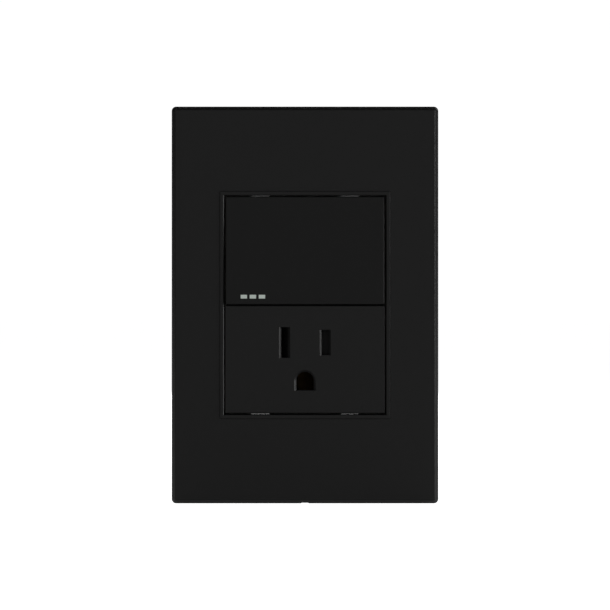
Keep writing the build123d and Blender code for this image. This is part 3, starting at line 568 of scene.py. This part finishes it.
def lathe(tree, around_count, along_count, radius, height, radius_shape, height_shape):
    grid = add(tree, "GeometryNodeMeshGrid", {
        "Size X": 1.0, "Size Y": 1.0, "Vertices X": around_count + 1, "Vertices Y": along_count}).outputs[0]
    spot = add(tree, "ShaderNodeSeparateXYZ", {0: add(tree, "GeometryNodeInputPosition").outputs[0]})
    angle = maths(tree, "MULTIPLY", maths(tree, "ADD", spot.outputs["X"], 0.5), 2 * math.pi)
    along = maths(tree, "ADD", spot.outputs["Y"], 0.5)
    wide = maths(tree, "MULTIPLY", outline(tree, along, radius_shape), radius)
    tall = maths(tree, "MULTIPLY", outline(tree, along, height_shape), height)
    x = maths(tree, "MULTIPLY", maths(tree, "COSINE", angle), wide)
    y = maths(tree, "MULTIPLY", maths(tree, "SINE", angle), wide)
    place = add(tree, "ShaderNodeCombineXYZ", {0: x, 1: y, 2: tall}).outputs[0]
    rolled = add(tree, "GeometryNodeSetPosition", {"Geometry": grid, "Position": place}).outputs[0]
    return add(tree, "GeometryNodeMergeByDistance", {"Geometry": rolled, "Distance": 1e-6}).outputs[0]


print("lathe ready")


# %% The screw tree
def make_screw_tree():
    tree, given = start_tree("threaded_screw", [
        ("Head radius", "Float", 0.003), ("Head height", "Float", 0.002), ("Neck length", "Float", 0.001),
        ("Neck radius", "Float", 0.0014), ("Thread radius", "Float", 0.0017),
        ("Root radius", "Float", 0.0013), ("Thread length", "Float", 0.01), ("Pitch", "Float", 0.0008),
        ("Point length", "Float", 0.001), ("Slot length", "Float", 0.008), ("Slot width", "Float", 0.0008),
        ("Slot depth", "Float", 0.0008), ("Cross length", "Float", 0.003), ("Cross width", "Float", 0.0007)])
    # head: flat underside, short wall, rolled shoulder, shallow dome
    head = lathe(tree, 40, 25, given["Head radius"], given["Head height"],
                 [(0.0, 0.0), (0.16, 0.97), (0.2, 1.0), (0.36, 1.0), (0.44, 0.985), (0.52, 0.95), (0.6, 0.88),
                  (0.76, 0.6), (0.88, 0.3), (1.0, 0.0)],
                 [(0.0, 0.0), (0.16, 0.0), (0.2, 0.04), (0.36, 0.42), (0.44, 0.6), (0.52, 0.74), (0.6, 0.83),
                  (0.76, 0.94), (0.88, 0.985), (1.0, 1.0)])
    # recess: a slot and a cross cut down from the dome. The cross is a little shallower, so that the
    # two floors don't lie in one plane, which would leave a doubled face
    deep = maths(tree, "MULTIPLY", given["Slot depth"], 2.0)
    shallower = maths(tree, "MULTIPLY", deep, 0.94)
    cutters = []
    for sizes in ((given["Slot length"], given["Slot width"], deep),
                  (given["Cross width"], given["Cross length"], shallower)):
        size = add(tree, "ShaderNodeCombineXYZ", {0: sizes[0], 1: sizes[1], 2: sizes[2]}).outputs[0]
        cube = add(tree, "GeometryNodeMeshCube", {"Size": size}).outputs[0]
        lift = add(tree, "ShaderNodeCombineXYZ", {2: given["Head height"]}).outputs[0]
        cutters.append(add(tree, "GeometryNodeTransform", {"Geometry": cube, "Translation": lift}).outputs[0])
    for cutter in cutters:
        cut = add(tree, "GeometryNodeMeshBoolean", {"Mesh 1": head}, operation="DIFFERENCE")
        tree.links.new(cutter, cut.inputs["Mesh 2"])
        head = cut.outputs["Mesh"]
    # core: neck, root and point in one lathe, running down from the head's underside
    whole = maths(tree, "ADD", maths(tree, "ADD", given["Neck length"], given["Thread length"]),
                  given["Point length"])
    neck = add(tree, "GeometryNodeMeshCylinder", {
        "Vertices": 28, "Radius": given["Neck radius"],
        "Depth": maths(tree, "ADD", given["Neck length"], 0.0003)}).outputs[0]
    neck_drop = add(tree, "ShaderNodeCombineXYZ", {
        2: maths(tree, "MULTIPLY_ADD", given["Neck length"], -0.5, 0.00015)}).outputs[0]
    neck = add(tree, "GeometryNodeTransform", {"Geometry": neck, "Translation": neck_drop}).outputs[0]
    core = lathe(tree, 28, 12, given["Root radius"], maths(tree, "MULTIPLY", whole, -1.0),
                 [(0.0, 0.0), (0.09, 1.0), (0.8, 1.0), (0.9, 0.8), (1.0, 0.0)],
                 [(0.0, 0.0), (0.09, 0.0), (0.8, 0.94), (0.9, 0.97), (1.0, 1.0)])
    core = add(tree, "GeometryNodeFlipFaces", {"Mesh": core}).outputs[0]
    # thread: a ridge of four sides that climbs round the root
    turns = maths(tree, "DIVIDE", given["Thread length"], given["Pitch"])
    helix = add(tree, "GeometryNodeCurveSpiral", {
        "Resolution": 20, "Rotations": turns, "Start Radius": given["Root radius"],
        "End Radius": given["Root radius"], "Height": given["Thread length"]}).outputs[0]
    helix = add(tree, "GeometryNodeSetCurveNormal", {"Curve": helix}, mode="Z_UP").outputs[0]
    ridge = add(tree, "GeometryNodeCurvePrimitiveCircle", {
        "Resolution": 4,
        "Radius": maths(tree, "SUBTRACT", given["Thread radius"], given["Root radius"])}).outputs[0]
    thread = add(tree, "GeometryNodeCurveToMesh", {
        "Curve": helix, "Profile Curve": ridge, "Fill Caps": True}).outputs[0]
    thread_drop = add(tree, "ShaderNodeCombineXYZ", {
        2: maths(tree, "MULTIPLY", maths(tree, "ADD", given["Neck length"], given["Thread length"]), -1.0)})
    thread = add(tree, "GeometryNodeTransform", {
        "Geometry": thread, "Translation": thread_drop.outputs[0]}).outputs[0]
    joined = add(tree, "GeometryNodeJoinGeometry")
    for part in (thread, core, neck, head):
        tree.links.new(part, joined.inputs[0])
    end_tree(tree, given, joined.outputs[0], spin=True)
    return tree


screw_tree = make_screw_tree()
print(screw_tree.name, "has", len(screw_tree.nodes), "nodes")


# %% [markdown]
# ## From tree to piece
#
# A tree runs as a modifier on a mesh that holds only the places. Its inputs are set by identifier,
# the result is read once from the evaluated object, and that plain mesh becomes the piece. The
# modifier never reaches the finished object, so the piece is as fixed as any CAD node.


# %% Run a tree once and keep its mesh
def grow(name, tree, places, body, stands_for, slot, paint, **inputs):
    base = bpy.data.meshes.new(name + "_places")
    base.from_pydata([tuple(c * mm for c in place) for place in places], [], [])
    carrier = bpy.data.objects.new(name + "_places", base)
    scene.collection.objects.link(carrier)
    modifier = carrier.modifiers.new("grow", "NODES")
    modifier.node_group = tree
    known = {item.name: item for item in tree.interface.items_tree if item.in_out == "INPUT"}
    inputs["Finish"] = paint
    for key, value in inputs.items():
        modifier[known[key.replace("_", " ")].identifier] = value
    graph = bpy.context.evaluated_depsgraph_get()
    mesh = bpy.data.meshes.new_from_object(carrier.evaluated_get(graph))
    mesh.name = name
    bpy.data.objects.remove(carrier)
    bpy.data.meshes.remove(base)
    piece = bpy.data.objects.new(name, mesh)
    scene.collection.objects.link(piece)
    if paint.name not in mesh.materials:
        mesh.materials.append(paint)
    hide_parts(*stands_for)
    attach(piece, body)
    print(name, "faces:", len(mesh.polygons))
    return piece


toward_room, toward_back = (math.pi / 2, 0, 0), (-math.pi / 2, 0, 0)
toward_right, toward_left = (0, math.pi / 2, 0), (0, -math.pi / 2, 0)
print("ready to grow pieces")

# %% [markdown]
# ## Box screws
#
# Two 6-32 machine screws hold the strap to the box, 83.3 mm apart. Their pan heads sit on the strap
# under the plate, a fibre retainer grips the plain neck, and the thread shows behind.

# %% The two box screws
box_screw_z = 41.67
grow(
    "box_screws", screw_tree, [(0, -1.5, box_screw_z), (0, -1.5, -box_screw_z)], "wall_unit",
    ["mounting_screws"], "screw_steel", screw_steel, Turn=toward_room, Seed=3,
    Head_radius=3.4 * mm, Head_height=2.1 * mm, Neck_length=2.6 * mm, Neck_radius=1.58 * mm,
    Thread_radius=1.74 * mm, Root_radius=1.36 * mm, Thread_length=17.6 * mm, Pitch=0.794 * mm,
    Point_length=1.25 * mm, Slot_length=8.2 * mm, Slot_width=0.9 * mm, Slot_depth=0.9 * mm,
    Cross_length=3.2 * mm, Cross_width=0.8 * mm)

# %% [markdown]
# ## Terminal screws
#
# Wires clamp under broad binding heads at the sides: brass for the line, nickel for the neutral and
# green for ground. The heads have a slot for a flat driver crossed by a shorter one.

# %% The side terminals
terminal_y, head_seat = 16.4, 20.5
terminals = [
    ("dimmer_line_binding", "dimmer_line_screws", "brass", brass, 1, (10.4, 23.4)),
    ("dimmer_neutral_binding", "dimmer_neutral_screw", "nickel", nickel, -1, (10.4,)),
    ("dimmer_ground_binding", "dimmer_ground_screw", "green_screw", green_screw, -1, (23.4,)),
    ("outlet_line_binding", "outlet_line_screw", "brass", brass, 1, (-11.7,)),
    ("outlet_neutral_binding", "outlet_neutral_screw", "nickel", nickel, -1, (-11.7,)),
    ("outlet_ground_binding", "outlet_ground_screw", "green_screw", green_screw, -1, (-23.6,)),
]
for seed, (name, node, slot_name, paint, side, heights) in enumerate(terminals):
    grow(name, screw_tree, [(side * head_seat, terminal_y, z) for z in heights], "wall_unit", [node],
         slot_name, paint, Turn=toward_right if side > 0 else toward_left, Seed=11 + seed,
         Head_radius=3.18 * mm, Head_height=1.58 * mm, Neck_length=0.6 * mm, Neck_radius=1.5 * mm,
         Thread_radius=1.68 * mm, Root_radius=1.3 * mm, Thread_length=2.9 * mm, Pitch=0.794 * mm,
         Point_length=0.75 * mm, Slot_length=7.6 * mm, Slot_width=0.8 * mm, Slot_depth=0.8 * mm,
         Cross_length=3.6 * mm, Cross_width=0.8 * mm)

# %% [markdown]
# ## Assembly screws
#
# Eight thread-forming screws close the two modules from the back, sunk in counterbores. Their thread
# is coarser than a machine screw's, because it cuts its own way into the plastic posts. The two cuts
# in their heads have the same length and width, so they make a plain cross.

# %% Screws that close the modules
post_x, back_seat = 18.9, 23.0
for name, node, heights, shank, length, seed in (
        ("dimmer_closing_screws", "dimmer_assembly_screws", (3.6, 30.3), 9.0, 11.0, 31),
        ("outlet_closing_screws", "outlet_assembly_screws", (-3.6, -30.2), 13.0, 13.1, 32)):
    grow(name, screw_tree, [(x, back_seat, z) for x in (-post_x, post_x) for z in heights], "wall_unit",
         [node], "screw_steel", screw_steel, Turn=toward_back, Seed=seed,
         Head_radius=2.08 * mm, Head_height=0.88 * mm, Neck_length=shank * mm, Neck_radius=0.9 * mm,
         Thread_radius=1.08 * mm, Root_radius=0.8 * mm, Thread_length=length * mm, Pitch=1.1 * mm,
         Point_length=1.2 * mm, Slot_length=2.5 * mm, Slot_width=0.55 * mm, Slot_depth=0.55 * mm,
         Cross_length=2.5 * mm, Cross_width=0.55 * mm)

# %% [markdown]
# ## Coil springs by rule
#
# A compression spring is a helix whose first and last turns lie close together, so that it stands
# flat. The tree bends a plain helix to that rule: a steady climb of one wire per turn, plus a smooth
# extra rise that only the middle turns get. Round wire is then swept along it.


# %% The spring tree
def make_spring_tree():
    tree, given = start_tree("coil_spring", [
        ("Mean radius", "Float", 0.002), ("Wire radius", "Float", 0.0002), ("Length", "Float", 0.004),
        ("Turns", "Float", 4.0)])
    helix = add(tree, "GeometryNodeCurveSpiral", {
        "Resolution": 28, "Rotations": given["Turns"], "Start Radius": given["Mean radius"],
        "End Radius": given["Mean radius"], "Height": 0.0}).outputs[0]
    share = add(tree, "GeometryNodeSplineParameter").outputs["Factor"]
    wire = maths(tree, "MULTIPLY", given["Wire radius"], 2.0)
    closed = maths(tree, "MULTIPLY", wire, given["Turns"])
    spare = maths(tree, "SUBTRACT", maths(tree, "SUBTRACT", given["Length"], wire), closed)
    flat = maths(tree, "DIVIDE", 0.8, given["Turns"])
    eased = add(tree, "ShaderNodeMapRange", {
        "Value": share, "From Min": flat, "From Max": maths(tree, "SUBTRACT", 1.0, flat)},
        interpolation_type="SMOOTHSTEP").outputs["Result"]
    rise = maths(tree, "ADD", maths(tree, "MULTIPLY", closed, share), maths(tree, "MULTIPLY", spare, eased))
    rise = maths(tree, "ADD", rise, given["Wire radius"])
    lift = add(tree, "ShaderNodeCombineXYZ", {2: rise}).outputs[0]
    bent = add(tree, "GeometryNodeSetPosition", {"Geometry": helix, "Offset": lift}).outputs[0]
    section = add(tree, "GeometryNodeCurvePrimitiveCircle", {
        "Resolution": 12, "Radius": given["Wire radius"]}).outputs[0]
    coil = add(tree, "GeometryNodeCurveToMesh", {
        "Curve": bent, "Profile Curve": section, "Fill Caps": True}).outputs[0]
    end_tree(tree, given, coil)
    return tree


spring_tree = make_spring_tree()
print(spring_tree.name, "has", len(spring_tree.nodes), "nodes")

# %% [markdown]
# ## The springs
#
# Two springs lift the key and one pushes each shutter home. Each is fixed to the wall unit at one
# length and gets a mesh of its own.

# %% Key springs and shutter springs
key_springs = grow(
    "key_coils", spring_tree, [(-14.0, -2.9, 14.0), (14.0, -2.9, 14.0)], "wall_unit",
    ["key_return_springs"], "spring_steel", spring_steel, Turn=toward_room,
    Mean_radius=2.0 * mm, Wire_radius=0.2 * mm, Length=3.9 * mm, Turns=5.0)
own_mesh(key_springs)

for name, node, joint, side, turn in (
        ("front_shutter_coil", "front_shutter_spring", "front_shutter_slide", -1, toward_left),
        ("rear_shutter_coil", "rear_shutter_spring", "rear_shutter_slide", 1, toward_right)):
    coil = grow(name, spring_tree, [(side * 0.5, -3.25, -3.6)], "wall_unit", [node], "spring_steel",
                spring_steel, Turn=turn, Mean_radius=1.1 * mm, Wire_radius=0.15 * mm,
                Length=10.6 * mm, Turns=11.0)
    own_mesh(coil)

# %% [markdown]
# ## The choke's winding
#
# The dimmer's ring choke is wound with one long enamelled wire that passes through the ring again
# and again. The path is a helix whose section is a rounded square, bent round the ring's centre, so
# the wire lies close to the flat faces of the core. Two straight legs bring its ends to the board.


# %% The winding tree
def make_winding_tree():
    tree, given = start_tree("ring_winding", [
        ("Ring radius", "Float", 0.0057), ("Half width", "Float", 0.0021), ("Half height", "Float", 0.0034),
        ("Wire radius", "Float", 0.0004), ("Turns", "Float", 20.0), ("Leg", "Float", 0.005)])
    line = add(tree, "GeometryNodeCurvePrimitiveLine", {"End": (0.0, 0.0, 1.0)}).outputs[0]
    line = add(tree, "GeometryNodeResampleCurve", {"Curve": line, "Count": 20 * 28 + 1}).outputs[0]
    share = add(tree, "GeometryNodeSplineParameter").outputs["Factor"]
    loop = maths(tree, "MULTIPLY", maths(tree, "MULTIPLY", share, given["Turns"]), 2 * math.pi)

    def squared(wave, half):
        size = maths(tree, "POWER", maths(tree, "ABSOLUTE", wave), 0.45)
        return maths(tree, "MULTIPLY", maths(tree, "MULTIPLY", size, maths(tree, "SIGN", wave)), half)

    radial = squared(maths(tree, "COSINE", loop), given["Half width"])
    axial = squared(maths(tree, "SINE", loop), given["Half height"])
    radius = maths(tree, "ADD", given["Ring radius"], radial)
    swing = maths(tree, "MULTIPLY_ADD", share, 5.6, 0.35)
    x = maths(tree, "MULTIPLY", radius, maths(tree, "COSINE", swing))
    y = maths(tree, "MULTIPLY", radius, maths(tree, "SINE", swing))
    place = add(tree, "ShaderNodeCombineXYZ", {0: x, 1: y, 2: axial}).outputs[0]
    wound = add(tree, "GeometryNodeSetPosition", {"Geometry": line, "Position": place}).outputs[0]
    wound = add(tree, "GeometryNodeResampleCurve", {"Curve": wound, "Count": 1400}).outputs[0]
    wires = add(tree, "GeometryNodeJoinGeometry")
    tree.links.new(wound, wires.inputs[0])
    reach = maths(tree, "ADD", given["Ring radius"], given["Half width"])
    for angle in (0.35, 0.35 + 5.6):
        x = maths(tree, "MULTIPLY", reach, math.cos(angle))
        y = maths(tree, "MULTIPLY", reach, math.sin(angle))
        top = add(tree, "ShaderNodeCombineXYZ", {0: x, 1: y}).outputs[0]
        foot = add(tree, "ShaderNodeCombineXYZ", {0: x, 1: y, 2: given["Leg"]}).outputs[0]
        leg = add(tree, "GeometryNodeCurvePrimitiveLine", {"Start": top, "End": foot}).outputs[0]
        tree.links.new(leg, wires.inputs[0])
    section = add(tree, "GeometryNodeCurvePrimitiveCircle", {
        "Resolution": 10, "Radius": given["Wire radius"]}).outputs[0]
    mesh = add(tree, "GeometryNodeCurveToMesh", {
        "Curve": wires.outputs[0], "Profile Curve": section, "Fill Caps": True}).outputs[0]
    end_tree(tree, given, mesh)
    return tree


grow(
    "choke_wire", make_winding_tree(), [(-6.8, 6.4, 14.6)], "wall_unit", ["choke_winding"], "copper",
    copper, Turn=toward_room, Leg=5.55 * mm)

# %% [markdown]
# ## Size
#
# The frame's box is printed in millimetres.

# %% Print the frame's box
print("CAD box", [round(v / mm, 2) for v in cad_high - cad_low])
